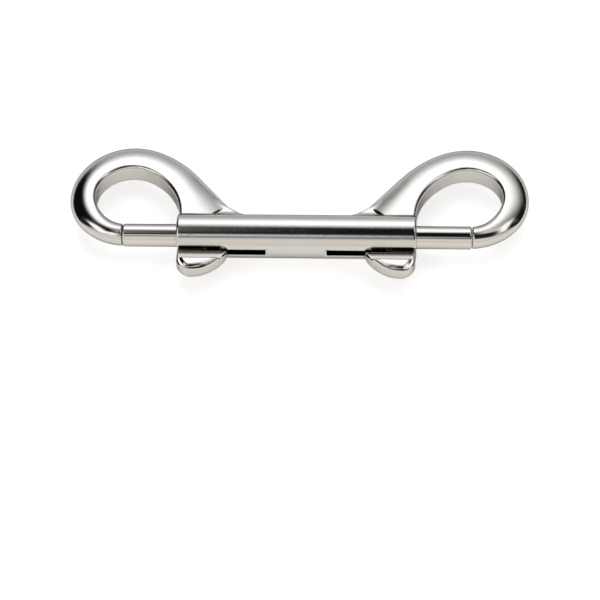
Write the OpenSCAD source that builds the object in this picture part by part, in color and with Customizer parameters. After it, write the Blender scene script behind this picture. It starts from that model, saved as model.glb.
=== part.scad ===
// Double ended snap hook, lying on its side.
// A cast barrel runs along X with a closed hook at each end. Each hook's gap is shut by a
// spring-loaded bolt that slides in the barrel and is drawn back by the thumb tab below it.
// Lengths are in millimetres. Z = 0 is the surface that the barrel lies on, and the plane of
// the hooks is level. The right end is drawn, and the left end is its mirror image.

/* [Barrel] */
// Outside diameter of the barrel
barrel_d = 10.8; // [10:0.1:12]
// Length of the barrel
barrel_l = 59; // [56:0.5:90]
// Rounding of the barrel's end edges
barrel_round = 0.6; // [0.2:0.1:1]
// Depth of each bore from its mouth
bore_depth = 27.5; // [26:0.5:28]

/* [Slots] */
// Width of the slot that the thumb tab's neck slides in
slot_w = 2; // [1.8:0.1:2.6]
// Length of the slot from the barrel's end
slot_l = 21.9; // [20:0.1:25]
// Width of the bevelled mouth of the slot at the barrel's surface
slot_mouth_w = 3.9; // [3:0.1:5]
// Length of the bevelled mouth of the slot
slot_mouth_l = 11; // [6:0.5:14]
// Depth of the bevel below the barrel's surface
slot_bevel = 0.9; // [0.4:0.1:1.4]

/* [Hooks] */
// Radius of the eye that each hook closes round
eye_r = 8.7; // [8:0.05:10]
// Distance of the eye's near side beyond the barrel's end
eye_in = 3.95; // [3.4:0.05:4.6]
// Radius of the wider arc of the eye's wall, down to the barrel
wall_r = 16.8; // [14.5:0.1:19]
// Distance of the wall's foot inside the barrel's end
wall_in = 0.1; // [0:0.05:0.6]
// Depth of the hook across its flat plane
hook_depth = 5.5; // [5:0.1:6.4]
// Diameter of the nose that meets the bolt
nose_d = 5.5; // [5:0.1:6]
// Distance of the nose's end beyond the eye's centre
nose_past = 1; // [0.4:0.05:2]
// Width of the hook's band at its outermost side
band_side = 6.6; // [6:0.05:7.4]
// Width of the hook's band halfway between its side and its top
band_shoulder = 7.8; // [7.2:0.05:8.6]
// Width of the hook's band over the top of the eye
band_top = 8.7; // [8:0.05:9.6]
// Width of the hook's band where the arm begins
band_arm = 8.3; // [7.6:0.05:9.2]
// Share of the band that is flat, from the eye, before its crown falls away, at the side
flat_side = 0.38; // [0.3:0.01:0.5]
// The same share where the arm begins and along the arm
flat_arm = 0.5; // [0.4:0.01:0.6]
// Rounding of the edges round the eye
eye_round = 0.9; // [0.3:0.05:1]
// Slope of the straight back of the arm to the barrel, in degrees
arm_slope = 50.7; // [47:0.1:54]
// Distance from the barrel's end to the foot of the arm's back, along the barrel
arm_l = 11.3; // [10:0.1:13]
// Height of the foot of the arm's back above the barrel's axis
arm_foot = 10.2; // [9:0.1:11]
// Thickness of the thin web behind the arm
web_t = 1.5; // [1:0.1:2.5]
// Distance from the barrel's end to the tip of the web
web_l = 16.1; // [14.5:0.1:18]
// Slope of the web's top, in degrees
web_slope = 38; // [30:1:42]

/* [Bolts] */
// Diameter of the sliding bolt
bolt_d = 5.7; // [5:0.1:6]
// Length of the bolt inside the barrel when the hook is shut
bolt_inside_l = 7.5; // [7:0.1:9]
// Gap between the bolt's tip and the nose
bolt_gap = 0.1; // [0.05:0.05:0.5]
// Radial clearance of the bolt in its bore
bolt_clearance = 0.05; // [0.02:0.01:0.1]
// Rounding of the bolt's tip and of the nose's rim
tip_round = 0.45; // [0.2:0.05:0.8]
// Diameter of the stem that guides the spring
stem_d = 3; // [2.4:0.1:3.4]
// Length of the stem
stem_l = 5; // [3:0.5:6]

/* [Thumb tabs] */
// Distance of the thumb tab's blunt end from the barrel's end
tab_in = 0.3; // [0.1:0.1:1.2]
// Height of the thumb tab across the barrel
tab_h = 5.6; // [5:0.1:6.5]
// Thickness of the thumb tab
tab_t = 4.5; // [3.6:0.1:5]
// Gap between the barrel and the thumb tab
tab_gap = 1.2; // [0.6:0.1:2]
// Radius of the tab's blunt end
tab_r = 3.3; // [2.8:0.1:3.8]
// Radius of the tab's belly
belly_r = 9.3; // [8:0.1:11]
// Bevel round the tab's faces
tab_bevel = 1.1; // [0.6:0.1:1.4]
// Length of the neck between bolt and tab, along the barrel
neck_l = 6; // [4:0.1:7]
// Clearance of the neck on each side in its slot
neck_clearance = 0.15; // [0.08:0.01:0.3]

/* [Springs] */
// Outside diameter of the spring
spring_d = 5; // [4.4:0.1:5.2]
// Diameter of the spring's wire
wire_d = 0.5; // [0.4:0.05:0.6]
// Number of turns of the spring
spring_turns = 11; // [8:1:12]

/* [Hidden] */
zinc = [0.74, 0.73, 0.71];
bright_zinc = [0.8, 0.79, 0.77];
spring_steel = [0.55, 0.56, 0.58];
$fn = 72;
eps = 0.01;

barrel_r = barrel_d / 2;
half_l = barrel_l / 2;
bolt_r = bolt_d / 2;
bore_r = bolt_r + bolt_clearance;
nose_r = nose_d / 2;

// Plane outline of the right hook: u runs outward from the barrel's end, v away from its axis.
// The eye's circle touches the line of the nose's upper edge.
eye_out = eye_in + eye_r;
nose_out = eye_out + nose_past;
eye = [eye_out, nose_r + eye_r];
function along(p, angle, d) = p + d * [cos(angle), sin(angle)];
function mix(a, b, f) = a + (b - a) * f;
function ease(a, b, f) = mix(a, b, (1 - cos(180 * min(max(f, 0), 1))) / 2);

// Past its shoulder the eye's wall is a wider arc, which ends upright over the barrel's end
// and runs straight down into the barrel.
wall_turn = acos(-(wall_r - wall_in - eye_out) / (wall_r - eye_r));
wall_centre = along(eye, wall_turn + 180, wall_r - eye_r);
wall_arc_l = wall_r * (180 - wall_turn) * PI / 180;
root_y = min(wall_centre.y, barrel_r * 0.82);
wall_foot = [-wall_in, root_y];
wall_down_l = wall_arc_l + wall_centre.y - root_y;
root_end = [-arm_l * 0.73, root_y];
wall_l = wall_down_l + norm(root_end - wall_foot);
function wall_at(d) =
    d < wall_arc_l ? along(wall_centre, wall_turn + d / wall_r * 180 / PI, wall_r)
    : d < wall_down_l ? [-wall_in, wall_centre.y - d + wall_arc_l]
    : mix(wall_foot, root_end, (d - wall_down_l) / norm(root_end - wall_foot));

// The back is a smooth curve round the eye's centre, then a straight line to the arm's foot.
foot = [-arm_l, arm_foot];
line_turn = 90 + arm_slope;
line_d = (foot - eye) * [cos(line_turn), sin(line_turn)];
join_turn = 155;
join_lean = join_turn - line_turn;
// [angle round the eye, radius, change of radius for each radian]
back_knots = [
    [-90, eye_r + nose_d, 0],
    [0, eye_r + band_side, 0.6],
    [45, eye_r + band_shoulder, 2],
    [85, eye_r + band_top, 0],
    [120, eye_r + band_arm, 0],
    [join_turn, line_d / cos(join_lean), line_d * tan(join_lean) / cos(join_lean)],
];
function curve(t, a, b, sa, sb) =
    a * (1 + 2 * t) * pow(1 - t, 2) + b * t * t * (3 - 2 * t)
    + sa * t * pow(1 - t, 2) - sb * t * t * (1 - t);
function back_radius(a) =
    let (i = max([for (k = [0 : len(back_knots) - 2]) if (a >= back_knots[k][0]) k]),
         from = back_knots[i], to = back_knots[i + 1],
         span = (to[0] - from[0]) * PI / 180)
    curve((a - from[0]) / (to[0] - from[0]), from[1], to[1], from[2] * span, to[2] * span);

// A station is [point at the eye's wall, point at the back, half depth, rounding, flat].
nose_wall = nose_out > eye_out ? eye.y - sqrt(pow(eye_r, 2) - pow(nose_out - eye_out, 2)) : nose_r;
function nose_station(u, inset) =
    [[u, nose_wall - inset], [u, -nose_r + inset], nose_r - inset,
     nose_r - inset - 0.15, nose_r - inset + 0.15];
// f runs from the nose's round section, 0, to the band's, 1; g from the band's side to its arm.
function band_station(wall, back, f, g) =
    [wall, back, mix(nose_d, hook_depth, f) / 2, ease(nose_r - 0.15, eye_round, f),
     ease(nose_r + 0.15, norm(back - wall) * mix(flat_side, flat_arm, g), f)];

ring_steps = 26;
arm_steps = 12;
first_turn = -90 + asin((nose_out + 1.4 - eye_out) / eye_r);
round_turn = -80;   // the section starts to leave the nose's circle here
flat_turn = -15;    // and is a flat-walled band from here
last_turn = wall_turn;
back_share = 0.45;  // share of the arm's stations whose backs are still on the curve
function arm_back(f) =
    f < back_share ? let (a = mix(last_turn, join_turn, f / back_share))
        along(eye, a, back_radius(a))
    : mix(along(eye, join_turn, back_knots[5][1]), foot, (f - back_share) / (1 - back_share));
arm_end_round = 0.45;
end_pull = arm_end_round * [cos(arm_slope), sin(arm_slope)];
stations = concat(
    [nose_station(nose_out, tip_round),
     nose_station(nose_out + tip_round * 0.3, tip_round * 0.3),
     nose_station(nose_out + tip_round, 0)],
    [for (i = [0 : ring_steps - 1])
        let (a = mix(first_turn, last_turn, i / ring_steps),
             f = min(max((a - round_turn) / (flat_turn - round_turn), 0), 1))
        band_station(along(eye, a, eye_r), along(eye, a, back_radius(a)), f,
                     max(a, 0) / last_turn)],
    [for (i = [0 : arm_steps])
        let (f = i / arm_steps)
        band_station(wall_at(f * wall_l), arm_back(f) + (i == arm_steps ? end_pull : [0, 0]),
                     1, 1)],
    [band_station(root_end, foot - 0.6 * end_pull, 0.75, 1)]
);

// Half section of a station, as [distance from the eye's wall, height]: rounded edge, then crown.
edge_steps = 3;
crown_steps = 7;
function half_section(w, h, rounding, flat) = concat(
    [for (i = [0 : edge_steps])
        let (a = 90 * i / edge_steps)
        [rounding * (1 - cos(a)), h - rounding * (1 - sin(a))]],
    [for (i = [0 : crown_steps - 1])
        let (a = 90 * i / crown_steps)
        [flat + (w - flat) * sin(a), h * cos(a)]]
);
function section(s) =
    let (w = norm(s[1] - s[0]), dir = (s[1] - s[0]) / w,
         upper = half_section(w, s[2], s[3], s[4]),
         n = len(upper))
    [for (p = concat(upper, [[w, 0]], [for (i = [n - 1 : -1 : 0]) [upper[i].x, -upper[i].y]]))
        let (q = s[0] + dir * p.x) [q.x, q.y, p.y]];

// Solid through a row of rings that all have the same number of points. Seen from the
// last ring, each ring runs counter-clockwise.
module loft(rings) {
    n = len(rings[0]);
    last = len(rings) - 1;
    faces = concat(
        [[for (i = [0 : n - 1]) i]],
        [for (k = [0 : last - 1], i = [0 : n - 1], side = [0, 1])
            let (j = (i + 1) % n, a = k * n, b = a + n)
            side == 0 ? [a + i, b + j, a + j] : [a + i, b + i, b + j]],
        [[for (i = [n - 1 : -1 : 0]) last * n + i]]
    );
    polyhedron([for (ring = rings) each ring], faces, convexity = 6);
}

// The part is centred between the hooks' tops and the underside of the thumb tabs.
hook_top = max([for (s = stations) s[1].y]);
tab_top = -barrel_r - tab_gap;
tab_bottom = tab_top - tab_h;
mid_y = (hook_top + tab_bottom) / 2;
module place() translate([0, -mid_y, barrel_r]) children();
module right_end() translate([half_l, 0, 0]) children();
module both_ends() {
    right_end() children();
    mirror([1, 0, 0]) right_end() children();
}

module barrel() {
    rotate([0, 90, 0]) rotate_extrude() polygon(concat(
        [[0, -half_l]],
        [for (a = [-90 : 15 : 0])
            [barrel_r - barrel_round * (1 - cos(a)), -half_l + barrel_round * (1 + sin(a))]],
        [for (a = [0 : 15 : 90])
            [barrel_r - barrel_round * (1 - cos(a)), half_l - barrel_round * (1 - sin(a))]],
        [[0, half_l]]
    ));
}

module web() {
    tip = [-web_l, barrel_r - 0.15];
    top = tip + (web_l - arm_l + 1) * [1, tan(web_slope)];
    translate([0, 0, -web_t / 2]) linear_extrude(web_t) polygon([
        [top.x, bore_r + 1], top, tip, [tip.x, bore_r + 1]]);
}

module bore() {
    translate([-bore_depth, 0, 0]) rotate([0, 90, 0]) cylinder(h = bore_depth + 1, r = bore_r);
}

module slot() {
    translate([-slot_l, -barrel_d, -slot_w / 2]) cube([slot_l + 1, barrel_d, slot_w]);
    translate([1, 0, 0]) rotate([0, -90, 0]) linear_extrude(slot_mouth_l + 1) polygon([
        [-slot_mouth_w / 2, -barrel_r - 1], [-slot_mouth_w / 2, -barrel_r + slot_bevel * 0.3],
        [-slot_w / 2, -barrel_r + slot_bevel * 1.3], [slot_w / 2, -barrel_r + slot_bevel * 1.3],
        [slot_mouth_w / 2, -barrel_r + slot_bevel * 0.3], [slot_mouth_w / 2, -barrel_r - 1]]);
}

module body() {
    color(zinc) place() difference() {
        union() {
            barrel();
            both_ends() loft([for (s = stations) section(s)]);
            both_ends() web();
        }
        both_ends() bore();
        both_ends() slot();
    }
}

// Outline of the thumb tab, drawn in by an inset: blunt end, belly, tail and flat top.
function tab_outline(inset) =
    let (blunt = [-tab_in - tab_r, tab_bottom + tab_r],
         belly = [blunt.x, tab_bottom + belly_r],
         tail = -180 + asin((belly.y - tab_top + inset) / (belly_r - inset)))
    concat(
        [[-tab_in - inset, tab_top - inset]],
        [for (i = [0 : 7]) along(blunt, mix(0, -90, i / 8), tab_r - inset)],
        [for (i = [0 : 12]) along(belly, mix(-90, tail, i / 12), belly_r - inset)]
    );
module thumb_tab() {
    // [share of the half thickness, share of the bevel] from the front face to the back
    levels = [[1, 1], [0.8, 0.45], [0.5, 0.1], [0.3, 0], [-0.3, 0], [-0.5, 0.1], [-0.8, 0.45], [-1, 1]];
    loft([for (l = levels)
        [for (p = tab_outline(l[1] * tab_bevel)) [p.x, p.y, l[0] * tab_t / 2]]]);
}

tip_out = nose_out - bolt_gap;
module bolt() {
    rotate([0, 90, 0]) rotate_extrude() polygon(concat(
        [[0, -bolt_inside_l - stem_l], [stem_d / 2, -bolt_inside_l - stem_l],
         [stem_d / 2, -bolt_inside_l], [bolt_r, -bolt_inside_l]],
        [for (a = [0 : 15 : 90])
            [bolt_r - tip_round * (1 - cos(a)), tip_out - tip_round * (1 - sin(a))]],
        [[0, tip_out]]
    ));
    neck_t = slot_w - 2 * neck_clearance;
    translate([-tab_in - neck_l, tab_top - 1.5, -neck_t / 2]) cube([neck_l, bolt_r - tab_top - 1, neck_t]);
    thumb_tab();
}

// The spring fills the bore from its floor to the bolt's shoulder, just clear of both.
spring_rest_l = bore_depth - bolt_inside_l;
spring_seat = 0.02;
spring_sides = 6;
spring_ring_steps = 12;
module spring() {
    coil_r = (spring_d - wire_d) / 2;
    run = spring_rest_l - wire_d - 2 * spring_seat;
    steps = spring_turns * spring_ring_steps;
    start = -bore_depth + wire_d / 2 + spring_seat;
    loft([for (k = [0 : steps])
        let (turn = 360 * k / spring_ring_steps, x = start + run * k / steps)
        [for (i = [0 : spring_sides - 1])
            let (a = -360 * i / spring_sides, r = coil_r + wire_d / 2 * cos(a))
            [x + wire_d / 2 * sin(a), r * cos(turn), r * sin(turn)]]]);
}

module right_bolt() { color(bright_zinc) place() right_end() bolt(); }
module left_bolt() { color(bright_zinc) place() mirror([1, 0, 0]) right_end() bolt(); }
module right_spring() { color(spring_steel) place() right_end() spring(); }
module left_spring() { color(spring_steel) place() mirror([1, 0, 0]) right_end() spring(); }

body();
left_bolt();
right_bolt();
left_spring();
right_spring();
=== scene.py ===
"""Double ended snap hook in satin nickel, on a pale floor under soft studio light.

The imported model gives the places. The shapes that replace its nodes are signed distance fields in
millimetres, turned into meshes whose points and normals are pulled onto the exact surface.
"""
import math

import bpy
import numpy as np
from mathutils import Matrix, Vector


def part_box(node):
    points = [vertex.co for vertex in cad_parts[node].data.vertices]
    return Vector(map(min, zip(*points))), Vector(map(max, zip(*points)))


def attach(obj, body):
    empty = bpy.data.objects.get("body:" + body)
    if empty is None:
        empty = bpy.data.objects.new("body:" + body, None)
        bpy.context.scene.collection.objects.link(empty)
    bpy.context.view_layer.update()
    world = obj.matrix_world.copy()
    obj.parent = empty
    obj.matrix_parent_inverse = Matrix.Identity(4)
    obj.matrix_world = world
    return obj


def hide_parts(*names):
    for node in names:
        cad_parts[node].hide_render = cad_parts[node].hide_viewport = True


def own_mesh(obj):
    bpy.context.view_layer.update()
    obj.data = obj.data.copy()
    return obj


MM = 0.001

# Barrel, in millimetres. In the shape functions u runs outward from the barrel's end, v away
# from its axis towards the hook's top, and w up from the plane of the hooks.
BARREL_R = 5.4
HALF_L = 29.5
BORE_R = 2.9
BORE_DEPTH = 27.5
END_ROUND = 0.65
SLOT_HALF = 1.0
SLOT_L = 21.9
MOUTH_HALF = 1.95
MOUTH_L = 11.0
MOUTH_TOP = -3.0
MOUTH_BEVEL = 1.17
# The mouth's bevel reaches its full width at this share of its depth
MOUTH_BEVEL_RUN = 0.7
FINE_EDGE = 0.15
# The bore, slot and mouth are cut this far past the barrel's end
CUT_PAST_END = 2.0

# Hook. Its outline is told by the turn about the eye's centre: the nose is at about -80 degrees,
# the top at 90, and the arm meets the barrel beyond 180.
EYE_R = 8.7
NOSE_R = 2.75
EYE_U, EYE_V = 12.65, NOSE_R + EYE_R
EYE_EDGE = 0.88
WALL_R = 16.8
WALL_U = -0.1
NOSE_U = 13.65
# Turns that split the hook: where a turn wraps round, the nose's straight part, its end face,
# and the change from its round section to the ring's
WRAP_TURN = math.radians(-120)
STRAIGHT_TURN = math.radians(-90)
NOSE_FACE_TURN = math.radians(-40)
ROUND_TURN, RING_TURN = math.radians(-80), math.radians(-15)
# Outer outline: (turn in degrees, distance from the eye's centre, change of it for each radian)
BACK_KNOTS = [(-90, 14.2, 0.0), (0, 15.3, 0.6), (45, 16.5, 2.0), (85, 17.4, 0.0), (120, 17.0, 0.0),
              (155, 18.3, 4.67)]
BACK_LINE, BACK_LINE_TURN = 17.75, math.radians(140.7)
# Width of the flat beside the eye: (turn in degrees, width)
FLAT_KNOTS = [(-30, 1.5), (0, 1.6), (90, 2.8), (135, 2.8)]
HALF_DEPTH = 2.75
CROWN_R = 8.1
BACK_SOFT = 0.25
# Limits of the power by which the band's face falls to its back, and least values of two divisors
FLATTEST_FALL, ROUNDEST_FALL = 1.2, 2.0
LEAST_RUN, LEAST_SLOPE = 0.3, 0.1

# Arm and web
ARM_FOOT = (-12.1, 9.24)
ARM_END_TURN = math.radians(223)
ARM_END_ROUND = 0.4
ARM_FILLET = 0.4
WEB_HALF = 1.2
WEB_L = 17.3
WEB_SLOPE = math.radians(33)
WEB_ROUND = 0.72
WEB_FILLET = 2.0
# The web runs on inside the arm this far past its foot, and both start this far above the axis
WEB_IN_ARM = 3.8
ROOT_LOW = 1.0
# The arm and barrel take over from the ring below this u, or beyond this turn
ROOT_U, ROOT_TURN = 1.0, math.radians(105)
# Between these heights the barrel's end runs over into the eye's wall, up to WALL_REACH outward
WALL_LOW, WALL_HIGH, WALL_REACH = 3.0, 5.6, 1.5
# Above this height the barrel's end has the eye's softer edge
EDGE_CHANGE = 4.0

# Bolt and thumb tab
BOLT_R = 2.85
BOLT_IN = 7.5
BOLT_TIP = 13.55
TIP_ROUND = 0.45
STEM_R, STEM_L = 1.5, 5.0
STEM_IN_ROD = 1.0
NECK_HALF, NECK_END = 0.6, -6.3
NECK_TOP = -2.0
NECK_IN_TAB = 1.5
TAB_U = -0.3
TAB_HALF = 2.25
TAB_TOP = -5.85
TAB_STEP, STEP_TILT = 1.9, math.radians(9)
TAB_SHOULDER = -8.6
TAB_BOTTOM = -12.1
TAB_BLUNT_R = 3.3
TAB_BELLY_R = 9.3
TAIL_TURN, TAIL_U, TAIL_ROUND = math.radians(38.8), -12.75, 1.5
TAB_EDGE, TAIL_EDGE, LOWER_EDGE = 0.6, 0.9, 1.6
# The tab turns into its tail between these distances inward of the barrel's end
TAIL_FROM, TAIL_TO = 5.5, 9.5
# Bevels round the tab's flat: (point on its edge, outward direction and tilt in degrees, rounding)
TAB_BEVELS = [((-2.5, -11.2), -32, 60, 0.8), ((-2.5, -11.2), -109, 14, 0.25)]
RIM_INSET, RIM_TILT = 1.3, math.radians(28)
BEVEL_ROUND = 0.25
# Roundings of the stem, neck and step, and fillets of the bolt with its stem and neck, of the
# pad with its step, and of the tab with its neck
SMALL_ROUND = 0.3
ROD_FILLET, PAD_FILLET, TAB_FILLET = 0.3, 0.2, 0.5

# Spring
SPRING_D, WIRE_D, SPRING_TURNS = 5.0, 0.5, 11
SPRING_CLEAR = 0.02
TURN_SIDES, WIRE_SIDES = 28, 10

# The surfaces sit this far inside their nominal sizes, to stay in the model's box
SKIN = 0.01
# Number of steps that pull a mesh onto its surface, the longest step, and the least squared slope
PULLS, LONGEST_PULL, LEAST_SLOPE_SQUARED = 4, 0.15, 0.25

# Grids: spacing of the body's and the bolts' lines, and of those along the body's plain middle;
# then how far the middle and each grid reach
BODY_STEP, BOLT_STEP, MIDDLE_STEP = 0.3, 0.2, 0.8
MIDDLE_HALF = 13.6
BODY_HALF_L, BODY_HALF_W = 58.0, 5.7
BODY_V = (-5.75, 29.5)
BOLT_MARGIN, BOLT_SIDE_MARGIN = 0.5, 0.35


# ---------------------------------------------------------------- shape functions
def smoothstep(x, low, high):
    """Smooth rise from 0 to 1 as x runs from low to high."""
    t = np.clip((x - low) / (high - low), 0.0, 1.0)
    return t * t * (3.0 - 2.0 * t)


def round_and(a, b, r):
    """Distance to what two solids share, with the edge between them rounded."""
    a, b = a + r, b + r
    return np.minimum(np.maximum(a, b), 0.0) + np.hypot(np.maximum(a, 0.0), np.maximum(b, 0.0)) - r


def soft_or(a, b, k):
    """Distance to two joined solids, with a fillet of about k where they meet."""
    h = np.maximum(k - np.abs(a - b), 0.0) / k
    return np.minimum(a, b) - h * h * k * 0.25


def hermite(t, a, b, slope_a, slope_b, span):
    """Cubic from a to b as t runs from 0 to 1, and its slope."""
    da, db = slope_a * span, slope_b * span
    t2, t3 = t * t, t * t * t
    value = (2 * t3 - 3 * t2 + 1) * a + (t3 - 2 * t2 + t) * da + (3 * t2 - 2 * t3) * b + (t3 - t2) * db
    slope = (6 * t2 - 6 * t) * (a - b) + (3 * t2 - 4 * t + 1) * da + (3 * t2 - 2 * t) * db
    return value, slope / span


# The eye is an arc round to its shoulder, then a wider one that ends upright over the barrel.
WALL_TURN = math.acos(-(WALL_R + WALL_U - EYE_U) / (WALL_R - EYE_R))
WALL_CENTRE = (WALL_U + WALL_R, EYE_V - (WALL_R - EYE_R) * math.sin(WALL_TURN))


def turn_of(u, v):
    """Angle round the eye, from the nose at about -80 degrees, over the top, to the barrel."""
    turn = np.arctan2(v - EYE_V, u - EYE_U)
    return np.where(turn < WRAP_TURN, turn + 2 * math.pi, turn)


def from_eye_wall(u, v, turn):
    """Distance into the hook from the wall of its eye."""
    d = np.hypot(u - EYE_U, v - EYE_V) - EYE_R
    wide = np.hypot(u - WALL_CENTRE[0], v - WALL_CENTRE[1]) - WALL_R
    wide = np.where(v > WALL_CENTRE[1], wide, WALL_U - u)
    d = np.where(turn > WALL_TURN, wide, d)
    return np.where(turn < STRAIGHT_TURN, NOSE_R - v, d)


def from_back(u, v, turn):
    """Distance into the hook from its outer outline."""
    radius = np.full(np.shape(turn), BACK_KNOTS[0][1])
    slope = np.zeros(np.shape(turn))
    for (a, wa, sa), (b, wb, sb) in zip(BACK_KNOTS, BACK_KNOTS[1:]):
        a, b = math.radians(a), math.radians(b)
        value, rate = hermite((turn - a) / (b - a), wa, wb, sa, sb, b - a)
        here = (turn >= a) & (turn <= b)
        radius = np.where(here, value, radius)
        slope = np.where(here, rate, slope)
    d = (radius - np.hypot(u - EYE_U, v - EYE_V)) * radius / np.hypot(radius, slope)
    straight = BACK_LINE - math.cos(BACK_LINE_TURN) * (u - EYE_U)
    straight = straight - math.sin(BACK_LINE_TURN) * (v - EYE_V)
    d = np.where(turn > math.radians(BACK_KNOTS[-1][0]), straight, d)
    return np.where(turn < STRAIGHT_TURN, v + NOSE_R, d)


def crown(wall_d, back_d, w, flat, bend):
    """The band's faces: flat beside the eye, then falling ever faster to the back.

    At a share t of the way to the back the height is (1 - t^2)^(1 / power) of the half depth,
    with the power set so that the fall begins as an arc of radius bend.
    """
    run = np.maximum(wall_d + back_d - flat, LEAST_RUN)
    power = np.clip(2.0 * HALF_DEPTH * bend / run ** 2, FLATTEST_FALL, ROUNDEST_FALL)
    t = np.maximum(wall_d - flat, 0.0) / run
    soft = BACK_SOFT * (ROUNDEST_FALL - power)
    height = np.sqrt(w ** 2 + soft ** 2) / HALF_DEPTH
    fill = 1.0 - (soft / HALF_DEPTH) ** power
    g = np.sqrt(fill * t ** 2 + height ** power)
    grad_t = fill * t / run
    grad_w = 0.5 * power * height ** (power - 1.0) / HALF_DEPTH
    return (g - 1.0) * g / np.maximum(np.hypot(grad_t, grad_w), LEAST_SLOPE)


def barrel_end(u, v, turn, wall_d):
    """Distance outward past the barrel's end and, above it, past the eye's wall."""
    below = smoothstep(v, WALL_LOW, WALL_HIGH) * WALL_U - u
    on_wall = ((turn > WALL_TURN) & (v > WALL_HIGH)) | (u >= WALL_REACH)
    return np.where(on_wall, wall_d, below)


def body_field(x, v, w):
    """Signed distance to the casting, in millimetres, positive outside."""
    u = np.abs(x) - HALF_L
    turn = turn_of(u, v)
    wall_d = from_eye_wall(u, v, turn)
    back_d = from_back(u, v, turn)
    ring_like = smoothstep(turn, ROUND_TURN, RING_TURN)
    flat = np.interp(turn, np.radians([k[0] for k in FLAT_KNOTS]), [k[1] for k in FLAT_KNOTS])
    flat = NOSE_R + ring_like * (flat - NOSE_R)
    bend = NOSE_R + ring_like * (CROWN_R - NOSE_R)
    face = crown(wall_d, back_d, w, flat, bend)

    # Ring and nose
    edge = NOSE_R + ring_like * (EYE_EDGE - NOSE_R)
    ring = round_and(face, -wall_d, edge)
    ring = np.where(turn < NOSE_FACE_TURN, round_and(ring, NOSE_U - u, TIP_ROUND), ring)

    # Barrel, arm and web, cut together by the eye's wall and the barrel's end
    end_face = math.cos(ARM_END_TURN) * (u - ARM_FOOT[0]) + math.sin(ARM_END_TURN) * (v - ARM_FOOT[1])
    arm = round_and(face, end_face, ARM_END_ROUND)
    arm = np.maximum(arm, ROOT_LOW - v)
    web_top = math.cos(WEB_SLOPE) * (v - BARREL_R) - math.sin(WEB_SLOPE) * (u + WEB_L)
    web_side = np.maximum(web_top, u - ARM_FOOT[0] - WEB_IN_ARM)
    web = round_and(np.abs(w) - WEB_HALF, web_side, WEB_ROUND)
    web = np.maximum(web, ROOT_LOW - v)
    web_root = soft_or(np.hypot(v, w) - BARREL_R, web, WEB_FILLET)
    root = soft_or(web_root, arm, ARM_FILLET)
    end_edge = np.where(v > EDGE_CHANGE, EYE_EDGE, END_ROUND)
    root = round_and(root, -barrel_end(u, v, turn, wall_d), end_edge)

    d = np.where((u < ROOT_U) | (turn > ROOT_TURN), root, ring)

    # Bore, slot and the slot's bevelled mouth
    past_end = u - CUT_PAST_END
    bore = np.maximum(np.hypot(v, w) - BORE_R, np.maximum(past_end, -(u + BORE_DEPTH)))
    d = round_and(d, -bore, FINE_EDGE)
    slot = np.maximum(np.abs(w) - SLOT_HALF, -(u + SLOT_L))
    d = round_and(d, -np.maximum(np.maximum(slot, v), past_end), FINE_EDGE)
    slant = math.atan2(MOUTH_HALF - SLOT_HALF, MOUTH_BEVEL * MOUTH_BEVEL_RUN)
    bevel = (np.abs(w) - SLOT_HALF) * math.cos(slant) + (v + BARREL_R - MOUTH_BEVEL) * math.sin(slant)
    mouth = np.maximum(np.maximum(bevel, v - MOUTH_TOP), np.maximum(past_end, -(u + MOUTH_L)))
    return round_and(d, -mouth, FINE_EDGE)


def tab_outline(u, v):
    """Distance to the thumb tab's outline: blunt end, belly, tail and flat top."""
    blunt = (TAB_U - TAB_BLUNT_R, TAB_BOTTOM + TAB_BLUNT_R)
    belly = (blunt[0], TAB_BOTTOM + TAB_BELLY_R)
    corner = np.hypot(u - blunt[0], v - blunt[1]) - TAB_BLUNT_R
    upright = np.where(v < blunt[1], corner, u - TAB_U)
    below = np.hypot(u - belly[0], v - belly[1]) - TAB_BELLY_R
    back, down = math.sin(TAIL_TURN), math.cos(TAIL_TURN)
    straight = -back * (u - belly[0]) - down * (v - belly[1]) - TAB_BELLY_R
    past_belly = back * (v - belly[1]) - down * (u - belly[0])
    below = np.where(past_belly > 0, round_and(straight, TAIL_U - u, TAIL_ROUND), below)
    return np.where(u > blunt[0], upright, below)


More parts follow.
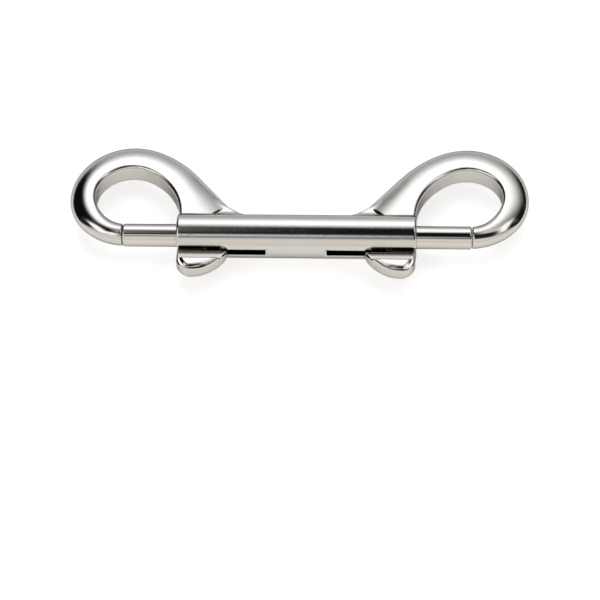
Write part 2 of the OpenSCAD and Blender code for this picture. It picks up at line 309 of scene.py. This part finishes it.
def bolt_field(x, v, w):
    """Signed distance to the right bolt, in millimetres, positive outside."""
    u = x - HALF_L
    radial = np.hypot(v, w)
    rod = round_and(radial - BOLT_R, np.maximum(u - BOLT_TIP, -(u + BOLT_IN)), TIP_ROUND)
    stem_ends = np.maximum(u + BOLT_IN - STEM_IN_ROD, -(u + BOLT_IN + STEM_L))
    stem = round_and(radial - STEM_R, stem_ends, SMALL_ROUND)
    rod = soft_or(rod, stem, ROD_FILLET)

    # The neck runs through the slot, from inside the rod into the tab
    along = np.maximum(u - TAB_U, NECK_END - u)
    neck = round_and(along, np.abs(w) - NECK_HALF, SMALL_ROUND)
    neck = np.maximum(neck, np.maximum(v - NECK_TOP, TAB_TOP - NECK_IN_TAB - v))

    # The tab's pad, with its bevels, below its step
    outline = tab_outline(u, v)
    high = np.abs(w) - TAB_HALF
    towards_tail = smoothstep(-u, TAIL_FROM, TAIL_TO)
    inset = np.where(w > 0, RIM_INSET * (1.0 - towards_tail), 0.0)
    rim = high * math.cos(RIM_TILT) + (outline + inset) * math.sin(RIM_TILT)
    edge = np.where(w > 0, TAB_EDGE + (TAIL_EDGE - TAB_EDGE) * towards_tail, LOWER_EDGE)
    pad = round_and(round_and(outline, high, edge), rim, BEVEL_ROUND)
    for (pu, pv), outward, tilt, rounding in TAB_BEVELS:
        outward, tilt = math.radians(outward), math.radians(tilt)
        past = math.cos(outward) * (u - pu) + math.sin(outward) * (v - pv)
        pad = round_and(pad, high * math.cos(tilt) + past * math.sin(tilt), rounding)
    pad = round_and(pad, v - TAB_SHOULDER, BEVEL_ROUND)
    ledge = (np.abs(w) - TAB_STEP) * math.cos(STEP_TILT) + (v - TAB_SHOULDER) * math.sin(STEP_TILT)
    ledge = np.maximum(ledge, np.abs(w) - TAB_STEP)
    step = round_and(round_and(outline, ledge, edge), v - TAB_TOP, SMALL_ROUND)
    tab = soft_or(step, pad, PAD_FILLET)
    return soft_or(soft_or(neck, tab, TAB_FILLET), rod, ROD_FILLET)


# ---------------------------------------------------------------- meshes from fields
def surface_net(values, axes):
    """Quad mesh of the zero level of values on a grid, one point for each cell that it crosses."""
    inside = values < 0
    shape = tuple(n - 1 for n in values.shape)
    total = np.zeros(shape, np.int8)
    corner = [slice(None, -1), slice(1, None)]
    for i in (0, 1):
        for j in (0, 1):
            for k in (0, 1):
                total += inside[corner[i], corner[j], corner[k]]
    cells = (total > 0) & (total < 8)
    number = np.full(shape, -1, np.int64)
    number[cells] = np.arange(cells.sum())
    points = np.zeros(shape + (3,))
    count = np.zeros(shape)
    quads = []
    for axis in range(3):
        others = [a for a in range(3) if a != axis]
        low = [slice(None)] * 3
        high = [slice(None)] * 3
        low[axis], high[axis] = slice(None, -1), slice(1, None)
        a, b = values[tuple(low)], values[tuple(high)]
        crossed = inside[tuple(low)] != inside[tuple(high)]
        t = np.where(crossed, a / np.where(crossed, a - b, 1.0), 0.0)
        start = axes[axis][:-1]
        step = np.diff(axes[axis])
        at = [1, 1, 1]
        at[axis] = -1
        place = start.reshape(at) + t * step.reshape(at)
        for p in (0, 1):
            for q in (0, 1):
                pick = [slice(None)] * 3
                pick[others[0]], pick[others[1]] = corner[p], corner[q]
                hit = crossed[tuple(pick)]
                count += hit
                points[..., axis] += np.where(hit, place[tuple(pick)], 0.0)
                for side, o in zip((p, q), others):
                    line = axes[o][corner[side]]
                    form = [1, 1, 1]
                    form[o] = -1
                    points[..., o] += np.where(hit, line.reshape(form), 0.0)
        i, j, k = np.nonzero(crossed)
        where = np.stack([i, j, k], 1)
        keep = np.all([(where[:, o] > 0) & (where[:, o] < values.shape[o] - 1) for o in others], 0)
        where = where[keep]
        ring = []
        for p, q in ((-1, -1), (0, -1), (0, 0), (-1, 0)):
            cell = where.copy()
            cell[:, others[0]] += p
            cell[:, others[1]] += q
            ring.append(number[tuple(cell.T)])
        quad = np.stack(ring, 1)
        outward = inside[tuple(where.T)]
        if axis == 1:
            outward = ~outward
        quads.append(np.where(outward[:, None], quad, quad[:, ::-1]))
    return points[cells] / count[cells][:, None], np.concatenate(quads)


def gradient(field, p, step=0.01):
    """Slope of a field at each point, by central differences."""
    parts = []
    for axis in range(3):
        shift = np.zeros(3)
        shift[axis] = step
        parts.append((field(*(p + shift).T) - field(*(p - shift).T)) / (2 * step))
    return np.stack(parts, 1)


def mesh_object(name, points, faces, normals=None):
    """Smooth-shaded object from points and faces, which all have the same number of corners."""
    mesh = bpy.data.meshes.new(name)
    mesh.vertices.add(len(points))
    mesh.vertices.foreach_set("co", np.asarray(points, np.float32).ravel())
    mesh.loops.add(faces.size)
    mesh.loops.foreach_set("vertex_index", faces.astype(np.int32).ravel())
    mesh.polygons.add(len(faces))
    mesh.polygons.foreach_set("loop_start", np.arange(0, faces.size, faces.shape[1], dtype=np.int32))
    mesh.update(calc_edges=True)
    mesh.validate()
    mesh.polygons.foreach_set("use_smooth", np.ones(len(mesh.polygons), bool))
    if normals is not None:
        mesh.normals_split_custom_set_from_vertices(normals.tolist())
    piece = bpy.data.objects.new(name, mesh)
    bpy.context.scene.collection.objects.link(piece)
    return piece


def solid_from_field(name, field, axes, place):
    """Mesh of a distance field, its points pulled onto the surface and its normals taken from it."""
    grid = np.meshgrid(*axes, indexing="ij")
    points, faces = surface_net(field(*grid), axes)
    for _ in range(PULLS):
        slope = gradient(field, points)
        pull = (field(*points.T) + SKIN) / np.maximum((slope ** 2).sum(1), LEAST_SLOPE_SQUARED)
        points -= np.clip(pull, -LONGEST_PULL, LONGEST_PULL)[:, None] * slope
    normals = gradient(field, points)
    normals /= np.maximum(np.linalg.norm(normals, axis=1), 1e-9)[:, None]
    return mesh_object(name, place(points), faces, normals)


def ruled_axis(marks):
    """Grid lines from marks of (position, spacing up to the next mark)."""
    lines = []
    for (a, spacing), (b, _) in zip(marks, marks[1:]):
        n = max(round((b - a) / spacing), 1)
        lines.append(np.linspace(a, b, n, endpoint=False))
    lines.append([marks[-1][0]])
    return np.concatenate(lines)


# ---------------------------------------------------------------- the frame
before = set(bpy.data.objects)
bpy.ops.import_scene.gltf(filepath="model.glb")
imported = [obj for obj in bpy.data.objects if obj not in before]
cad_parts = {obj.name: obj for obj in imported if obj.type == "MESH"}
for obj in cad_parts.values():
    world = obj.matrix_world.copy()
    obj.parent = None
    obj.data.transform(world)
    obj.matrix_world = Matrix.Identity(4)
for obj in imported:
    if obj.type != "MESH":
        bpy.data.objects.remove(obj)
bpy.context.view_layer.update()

body_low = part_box("body")[0]
AXIS_Y = body_low.y / MM + BARREL_R
AXIS_Z = body_low.z / MM + BARREL_R


def to_frame(points):
    """Millimetres about the barrel's axis to metres in the model's frame."""
    return (points + np.array([0.0, AXIS_Y, AXIS_Z])) * MM


def mirrored(axis_lines):
    """Grid lines on both sides of zero, from lines that start at zero."""
    return np.concatenate([-axis_lines[:0:-1], axis_lines])


# ---------------------------------------------------------------- materials
EDGE_TINT = (0.35, 0.35, 0.35, 1.0)
SPECKLE_DETAIL, SPECKLE_ROUGHNESS = 3.0, 0.6
DRIFT_SCALE, DRIFT_DETAIL = 160.0, 2.0
# Shares of the tint between which it drifts, and of the roughness between which it is mottled
TINT_DRIFT = (0.96, 1.04)
ROUGHNESS_DRIFT = (0.8, 1.2)
# Range of the speckle's noise that the roughness follows, and the one that the steep grains rise over
SPECKLE_RANGE = (0.3, 0.7)
STEEP_RANGE = (0.6, 0.72)
STEEP_GRAIN = 0.2
# Painted shade inside the barrel: nearer its axis than INSIDE_R and nearer its middle than INSIDE_L, in
# millimetres
INSIDE_R, INSIDE_L = 5.15, 29.2
PAINTED_SHADE_COLOUR = (0.1, 0.09, 0.08, 1.0)


def math_node(nodes, links, operation, *inputs):
    """Output of a math node; each input is a number or another node's output."""
    node = nodes.new("ShaderNodeMath")
    node.operation = operation
    for socket, value in zip(node.inputs, inputs):
        if isinstance(value, float):
            socket.default_value = value
        else:
            links.new(value, socket)
    return node.outputs[0]


def map_range(nodes, links, value, source, target):
    """The value's place in the source range, as a place in the target range."""
    node = nodes.new("ShaderNodeMapRange")
    node.inputs["From Min"].default_value, node.inputs["From Max"].default_value = source
    node.inputs["To Min"].default_value, node.inputs["To Max"].default_value = target
    links.new(value, node.inputs["Value"])
    return node


def colour_mix(nodes, links, factor):
    """Mix of colours A and B, which the caller fills in."""
    node = nodes.new("ShaderNodeMix")
    node.data_type = "RGBA"
    links.new(factor, node.inputs["Factor"])
    return node


def noise(nodes, links, place, scale, detail):
    """Noise texture over the given coordinates."""
    node = nodes.new("ShaderNodeTexNoise")
    node.inputs["Scale"].default_value = scale
    node.inputs["Detail"].default_value = detail
    links.new(place, node.inputs["Vector"])
    return node


def nickel(name, tint, roughness, grain, grain_scale):
    """Plated metal with a slightly drifting tint; grain is the depth of its fine bump in metres."""
    mat = bpy.data.materials.new(name)
    mat.use_nodes = True
    nodes, links = mat.node_tree.nodes, mat.node_tree.links
    shader = nodes["Principled BSDF"]
    shader.inputs["Metallic"].default_value = 1.0
    shader.inputs["Specular Tint"].default_value = EDGE_TINT
    place = nodes.new("ShaderNodeTexCoord").outputs["Object"]
    drift = noise(nodes, links, place, DRIFT_SCALE, DRIFT_DETAIL)
    colour = colour_mix(nodes, links, drift.outputs["Fac"])
    for end, share in zip("AB", TINT_DRIFT):
        colour.inputs[end].default_value = (*[min(c * share, 1.0) for c in tint], 1.0)
    links.new(colour.outputs["Result"], shader.inputs["Base Color"])
    # Fine plated grain: mottled roughness and a shallow bump
    speckle = noise(nodes, links, place, grain_scale, SPECKLE_DETAIL)
    speckle.inputs["Roughness"].default_value = SPECKLE_ROUGHNESS
    mottled = [roughness * share for share in ROUGHNESS_DRIFT]
    spread = map_range(nodes, links, speckle.outputs["Fac"], SPECKLE_RANGE, mottled)
    links.new(spread.outputs["Result"], shader.inputs["Roughness"])
    # Sparse steep grains stand out of the shallow ones
    steep = map_range(nodes, links, speckle.outputs["Fac"], STEEP_RANGE, (0.0, STEEP_GRAIN))
    height = math_node(nodes, links, "ADD", speckle.outputs["Fac"], steep.outputs["Result"])
    bump = nodes.new("ShaderNodeBump")
    bump.inputs["Strength"].default_value = 1.0
    bump.inputs["Distance"].default_value = grain
    links.new(height, bump.inputs["Height"])
    links.new(bump.outputs["Normal"], shader.inputs["Normal"])
    return mat


def paint_shade_inside(mat):
    """Paint the casting near-black inside its bores and slots: painted shade for their dark recesses."""
    nodes, links = mat.node_tree.nodes, mat.node_tree.links
    shader = nodes["Principled BSDF"]
    place = nodes.new("ShaderNodeTexCoord")
    parts = nodes.new("ShaderNodeSeparateXYZ")
    links.new(place.outputs["Object"], parts.inputs[0])
    across = math_node(nodes, links, "SUBTRACT", parts.outputs["Y"], float(AXIS_Y * MM))
    high = math_node(nodes, links, "SUBTRACT", parts.outputs["Z"], float(AXIS_Z * MM))
    across = math_node(nodes, links, "POWER", across, 2.0)
    high = math_node(nodes, links, "POWER", high, 2.0)
    radial = math_node(nodes, links, "SQRT", math_node(nodes, links, "ADD", across, high))
    near_axis = math_node(nodes, links, "LESS_THAN", radial, INSIDE_R * MM)
    along = math_node(nodes, links, "ABSOLUTE", parts.outputs["X"])
    between_ends = math_node(nodes, links, "LESS_THAN", along, INSIDE_L * MM)
    inside = math_node(nodes, links, "MULTIPLY", near_axis, between_ends)
    # Painted shade: the near-black colour takes over inside the bores and slots
    shade = colour_mix(nodes, links, inside)
    shade.inputs["B"].default_value = PAINTED_SHADE_COLOUR
    links.new(shader.inputs["Base Color"].links[0].from_socket, shade.inputs["A"])
    links.new(shade.outputs["Result"], shader.inputs["Base Color"])


satin = nickel("satin_nickel", tint=(0.625, 0.60, 0.56), roughness=0.09, grain=0.00001,
               grain_scale=4500.0)
# Painted shade inside the barrel's bores and slots
paint_shade_inside(satin)
bright = nickel("bright_nickel", tint=(0.64, 0.60, 0.55), roughness=0.07, grain=0.000004,
                grain_scale=2600.0)
spring_wire = nickel("spring_wire", tint=(0.62, 0.62, 0.64), roughness=0.3, grain=0.000002,
                     grain_scale=4000.0)


def dress(piece, mat, body, node):
    """Give a piece its material, the body it rides on and the node it replaces."""
    piece.data.materials.append(mat)
    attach(piece, body)
    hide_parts(node)


# ---------------------------------------------------------------- pieces
x_half = ruled_axis([(0.0, MIDDLE_STEP), (MIDDLE_HALF, BODY_STEP), (BODY_HALF_L, BODY_STEP)])
v_lines = ruled_axis([(BODY_V[0], BODY_STEP), (BODY_V[1], BODY_STEP)])
w_lines = mirrored(ruled_axis([(0.0, BODY_STEP), (BODY_HALF_W, BODY_STEP)]))
body = solid_from_field("cast_body", body_field, [mirrored(x_half), v_lines, w_lines], to_frame)
dress(body, satin, "body", "body")

bolt_ranges = [
    (HALF_L - BOLT_IN - STEM_L - BOLT_MARGIN, HALF_L + BOLT_TIP + BOLT_MARGIN),
    (TAB_BOTTOM - BOLT_MARGIN, BOLT_R + BOLT_MARGIN),
    (-BOLT_R - BOLT_SIDE_MARGIN, BOLT_R + BOLT_SIDE_MARGIN),
]
bolt_axes = [ruled_axis([(first, BOLT_STEP), (last, BOLT_STEP)]) for first, last in bolt_ranges]
right = solid_from_field("right_sliding_bolt", bolt_field, bolt_axes, to_frame)
dress(right, bright, "right_bolt", "right_bolt")
left_axes = [-bolt_axes[0][::-1], bolt_axes[1], bolt_axes[2]]
left = solid_from_field("left_sliding_bolt", lambda x, v, w: bolt_field(-x, v, w), left_axes, to_frame)
dress(left, bright, "left_bolt", "left_bolt")


def coil(name, side):
    """Coil spring between the bore's floor and the bolt's shoulder; side is 1 right, -1 left."""
    rings, sides = SPRING_TURNS * TURN_SIDES, WIRE_SIDES
    start = HALF_L - BORE_DEPTH + WIRE_D / 2 + SPRING_CLEAR
    run = BORE_DEPTH - BOLT_IN - WIRE_D - 2 * SPRING_CLEAR
    k = np.arange(rings + 1)
    turn = 2 * math.pi * SPRING_TURNS * k / rings
    a = 2 * math.pi * np.arange(sides) / sides
    reach = (SPRING_D - WIRE_D) / 2 + WIRE_D / 2 * np.cos(a)[None, :]
    x = start + run * (k / rings)[:, None] + WIRE_D / 2 * np.sin(a)[None, :]
    points = np.stack([side * x, reach * np.cos(turn)[:, None], reach * np.sin(turn)[:, None]], 2)
    i, j = np.meshgrid(np.arange(rings), np.arange(sides), indexing="ij")
    i, j = i.ravel(), j.ravel()
    jn = (j + 1) % sides
    faces = np.stack([i * sides + j, i * sides + jn, (i + 1) * sides + jn, (i + 1) * sides + j], 1)
    if side < 0:
        faces = faces[:, ::-1]
    return mesh_object(name, to_frame(points.reshape(-1, 3)), faces)


for side, end in ((1, "right"), (-1, "left")):
    piece = coil(f"{end}_coil", side)
    dress(piece, spring_wire, "body", f"{end}_spring")
    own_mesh(piece)


# ---------------------------------------------------------------- floor, light and camera
def ramp(nodes, links, value, stops, low, high):
    """Colour over a value that runs from low to high; stops are (value, brightness, tint)."""
    spread = map_range(nodes, links, value, (low, high), (0.0, 1.0))
    node = nodes.new("ShaderNodeValToRGB")
    elements = node.color_ramp.elements
    while len(elements) < len(stops):
        elements.new(0.5)
    for element, (at, level, tint) in zip(elements, stops):
        element.position = (at - low) / (high - low)
        element.color = (*[level * c for c in tint], 1)
    links.new(spread.outputs["Result"], node.inputs["Fac"])
    return node.outputs["Color"]


def background_rays(nodes, links, direct, mirrored_level):
    """One strength on camera rays, another on glossy and transmission rays, and none on the rest."""
    path = nodes.new("ShaderNodeLightPath")
    glossy, through = path.outputs["Is Glossy Ray"], path.outputs["Is Transmission Ray"]
    either = math_node(nodes, links, "MAXIMUM", glossy, through)
    mirrored_part = math_node(nodes, links, "MULTIPLY", either, mirrored_level)
    direct_part = math_node(nodes, links, "MULTIPLY", path.outputs["Is Camera Ray"], direct)
    return math_node(nodes, links, "MAXIMUM", direct_part, mirrored_part)


FLOOR_HALF = 3.0
FLOOR_SHADE = 0.8
# Glow that makes the floor pale, as the camera sees it and as the metal reflects it
FLOOR_LIFT = 0.6
MIRRORED_LIFT = 0.46


def studio_floor():
    """Plain pale floor that takes shadows; its glow shows on camera, glossy and transmission rays."""
    mesh = bpy.data.meshes.new("floor")
    h = FLOOR_HALF
    mesh.from_pydata([(-h, -h, 0), (h, -h, 0), (h, h, 0), (-h, h, 0)], [], [(0, 1, 2, 3)])
    floor = bpy.data.objects.new("floor", mesh)
    bpy.context.scene.collection.objects.link(floor)
    mat = bpy.data.materials.new("floor_white")
    mat.use_nodes = True
    nodes, links = mat.node_tree.nodes, mat.node_tree.links
    nodes.clear()
    out = nodes.new("ShaderNodeOutputMaterial")
    matte = nodes.new("ShaderNodeBsdfDiffuse")
    matte.inputs["Color"].default_value = (FLOOR_SHADE, FLOOR_SHADE, FLOOR_SHADE, 1)
    glow = nodes.new("ShaderNodeEmission")
    lift = background_rays(nodes, links, FLOOR_LIFT, MIRRORED_LIFT)
    links.new(lift, glow.inputs["Strength"])
    both = nodes.new("ShaderNodeAddShader")
    links.new(matte.outputs[0], both.inputs[0])
    links.new(glow.outputs[0], both.inputs[1])
    links.new(both.outputs[0], out.inputs[0])
    floor.data.materials.append(mat)


NEUTRAL = (0.97, 1.0, 1.05)
GREENISH = (0.95, 1.0, 1.04)
WARM = (1.035, 1.0, 0.965)
DARK = (0.8, 1.0, 1.5)
# A direction in the studio is told by two angles in degrees: one from the left (-90) to the right,
# and one from the front (-90), over the top (0), to the back (90).
# The studio from front to back: (angle, brightness, tint)
STUDIO = [(-180, 0.6, WARM), (-145, 0.68, WARM), (-105, 0.78, WARM), (-85, 0.9, WARM), (-62, 0.95, WARM),
          (-53, 0.8, WARM), (-48, 0.4, NEUTRAL), (-43, 0.22, NEUTRAL), (-39, 0.85, NEUTRAL),
          (-34, 0.95, NEUTRAL), (-30, 0.1, NEUTRAL), (-24, 0.01, DARK), (0, 0.005, DARK),
          (6, 0.04, DARK), (10, 0.16, NEUTRAL), (14, 0.7, NEUTRAL), (20, 1.05, NEUTRAL),
          (28, 1.8, NEUTRAL), (44, 1.8, NEUTRAL), (56, 1.15, NEUTRAL), (68, 0.75, GREENISH),
          (85, 0.64, GREENISH), (115, 0.75, GREENISH), (150, 0.9, GREENISH), (180, 0.6, GREENISH)]
# Soft boxes and black flags, each hung over the ones before it:
# (name, centre, half size, turn, softness of its edge, brightness)
BOARDS = [
    ("grey scrim on the left", (-17, 0), (9, 20), 0, 0.5, 0.5),
    ("white scrim on the right", (26, 14), (16, 20), 0, 0.4, 1.05),
    ("fall-off to the right", (80, 38), (56, 32), 0, 0.5, 0.01),
    ("right flag", (78, 105), (57, 48), 0, 0.17, 0.01),
    ("left flag", (-62, 45), (42, 38), 0, 0.18, 0.005),
    ("left soft box", (-42, -19), (9, 28), 0, 0.25, 1.65),
    ("low left box", (-27, -37), (7, 14), 0, 0.25, 1.5),
    ("inner left flag", (-26, -3), (8, 20), 0, 0.3, 0.015),
    ("right soft box", (43, -5), (7.5, 25), 18, 0.25, 1.65),
    ("low flag", (22, -32), (20, 20), 0, 0.3, 0.02),
]


def hang_board(nodes, links, angles, behind, board):
    """Paint one board with rounded corners and a soft edge over the colour behind it."""
    label, centre, half, turn, softness, level = board
    local = nodes.new("ShaderNodeMapping")
    local.label = label
    local.vector_type = "TEXTURE"
    local.inputs["Location"].default_value = (*centre, 0)
    local.inputs["Rotation"].default_value = (0, 0, math.radians(turn))
    local.inputs["Scale"].default_value = (*half, 1)
    links.new(angles, local.inputs["Vector"])
    # The fourth root of the fourth powers' sum is 1 along a rectangle with rounded corners
    power = local.outputs[0]
    for _ in range(2):
        square = nodes.new("ShaderNodeVectorMath")
        square.operation = "MULTIPLY"
        links.new(power, square.inputs[0])
        links.new(power, square.inputs[1])
        power = square.outputs[0]
    total = nodes.new("ShaderNodeVectorMath")
    total.operation = "DOT_PRODUCT"
    total.inputs[1].default_value = (1, 1, 0)
    links.new(power, total.inputs[0])
    reach = math_node(nodes, links, "POWER", total.outputs["Value"], 0.25)
    cover = map_range(nodes, links, reach, (1.0 - softness, 1.0 + softness), (1.0, 0.0))
    cover.interpolation_type = "SMOOTHSTEP"
    paint = colour_mix(nodes, links, cover.outputs["Result"])
    paint.inputs["B"].default_value = (level, level, level, 1)
    links.new(behind, paint.inputs["A"])
    return paint.outputs["Result"]


def studio():
    """World light: the front-to-back colours, with the boards painted over them."""
    world = bpy.data.worlds.new("studio")
    bpy.context.scene.world = world
    world.use_nodes = True
    nodes, links = world.node_tree.nodes, world.node_tree.links
    background = nodes["Background"]
    place = nodes.new("ShaderNodeTexCoord")
    parts = nodes.new("ShaderNodeSeparateXYZ")
    links.new(place.outputs["Generated"], parts.inputs[0])
    tilt = math_node(nodes, links, "ARCTAN2", parts.outputs["Y"], parts.outputs["Z"])
    front_back = math_node(nodes, links, "DEGREES", tilt)
    side = math_node(nodes, links, "ARCSINE", parts.outputs["X"])
    left_right = math_node(nodes, links, "DEGREES", side)
    angles = nodes.new("ShaderNodeCombineXYZ")
    links.new(left_right, angles.inputs["X"])
    links.new(front_back, angles.inputs["Y"])
    seen = ramp(nodes, links, front_back, STUDIO, -180, 180)
    for board in BOARDS:
        seen = hang_board(nodes, links, angles.outputs[0], seen, board)
    links.new(seen, background.inputs["Color"])
    background.inputs["Strength"].default_value = 1.0


LAMP_POWER = 1.5
LAMP_SIZE = 0.7
LAMP_PLACE = (0.0, 0.45, 0.75)


def overhead_lamp():
    """Large soft lamp above and behind; it brings matt surfaces to a plain level."""
    data = bpy.data.lights.new("overhead_soft_box", "AREA")
    data.shape = "SQUARE"
    data.size = LAMP_SIZE
    data.energy = LAMP_POWER
    lamp = bpy.data.objects.new("overhead_soft_box", data)
    place = Vector(LAMP_PLACE)
    lamp.location = place
    lamp.rotation_euler = place.to_track_quat("Z", "Y").to_euler()
    lamp.visible_glossy = False
    bpy.context.scene.collection.objects.link(lamp)


CAM_ELEVATION = math.radians(50.1)
CAM_AZIMUTH = math.radians(4.3)
CAM_DISTANCE = 494.0
CAM_LENS = 120.0
CAM_SENSOR = 36.0
CAM_ROLL = math.radians(-2.8)
CAM_CLIP = 0.01
# Where the camera aims, in millimetres from the barrel's middle across and up its picture
CAM_AIM = (0.79, -15.68)


def camera():
    """Camera above and in front of the tabs, at the photograph's viewing angle."""
    centre = Vector((0, AXIS_Y, AXIS_Z)) * MM
    se, ce = math.sin(CAM_ELEVATION), math.cos(CAM_ELEVATION)
    sa, ca = math.sin(CAM_AZIMUTH), math.cos(CAM_AZIMUTH)
    away = Vector((sa * ce, -ca * ce, se))
    across = Vector((ca, sa, 0))
    up = away.cross(across)
    image_x = across * math.cos(CAM_ROLL) + up * math.sin(CAM_ROLL)
    image_y = up * math.cos(CAM_ROLL) - across * math.sin(CAM_ROLL)
    eye = centre + away * CAM_DISTANCE * MM
    aim = centre + image_x * CAM_AIM[0] * MM + image_y * CAM_AIM[1] * MM
    back = (eye - aim).normalized()
    x_axis = (image_x - back * image_x.dot(back)).normalized()
    y_axis = back.cross(x_axis)
    data = bpy.data.cameras.new("camera")
    data.sensor_width = CAM_SENSOR
    data.lens = CAM_LENS
    data.clip_start = CAM_CLIP
    cam = bpy.data.objects.new("camera", data)
    cam.matrix_world = Matrix((
        (x_axis.x, y_axis.x, back.x, eye.x),
        (x_axis.y, y_axis.y, back.y, eye.y),
        (x_axis.z, y_axis.z, back.z, eye.z),
        (0, 0, 0, 1)))
    bpy.context.scene.collection.objects.link(cam)
    bpy.context.scene.camera = cam


studio_floor()
studio()
overhead_lamp()
camera()
bpy.context.scene.view_settings.view_transform = "Standard"
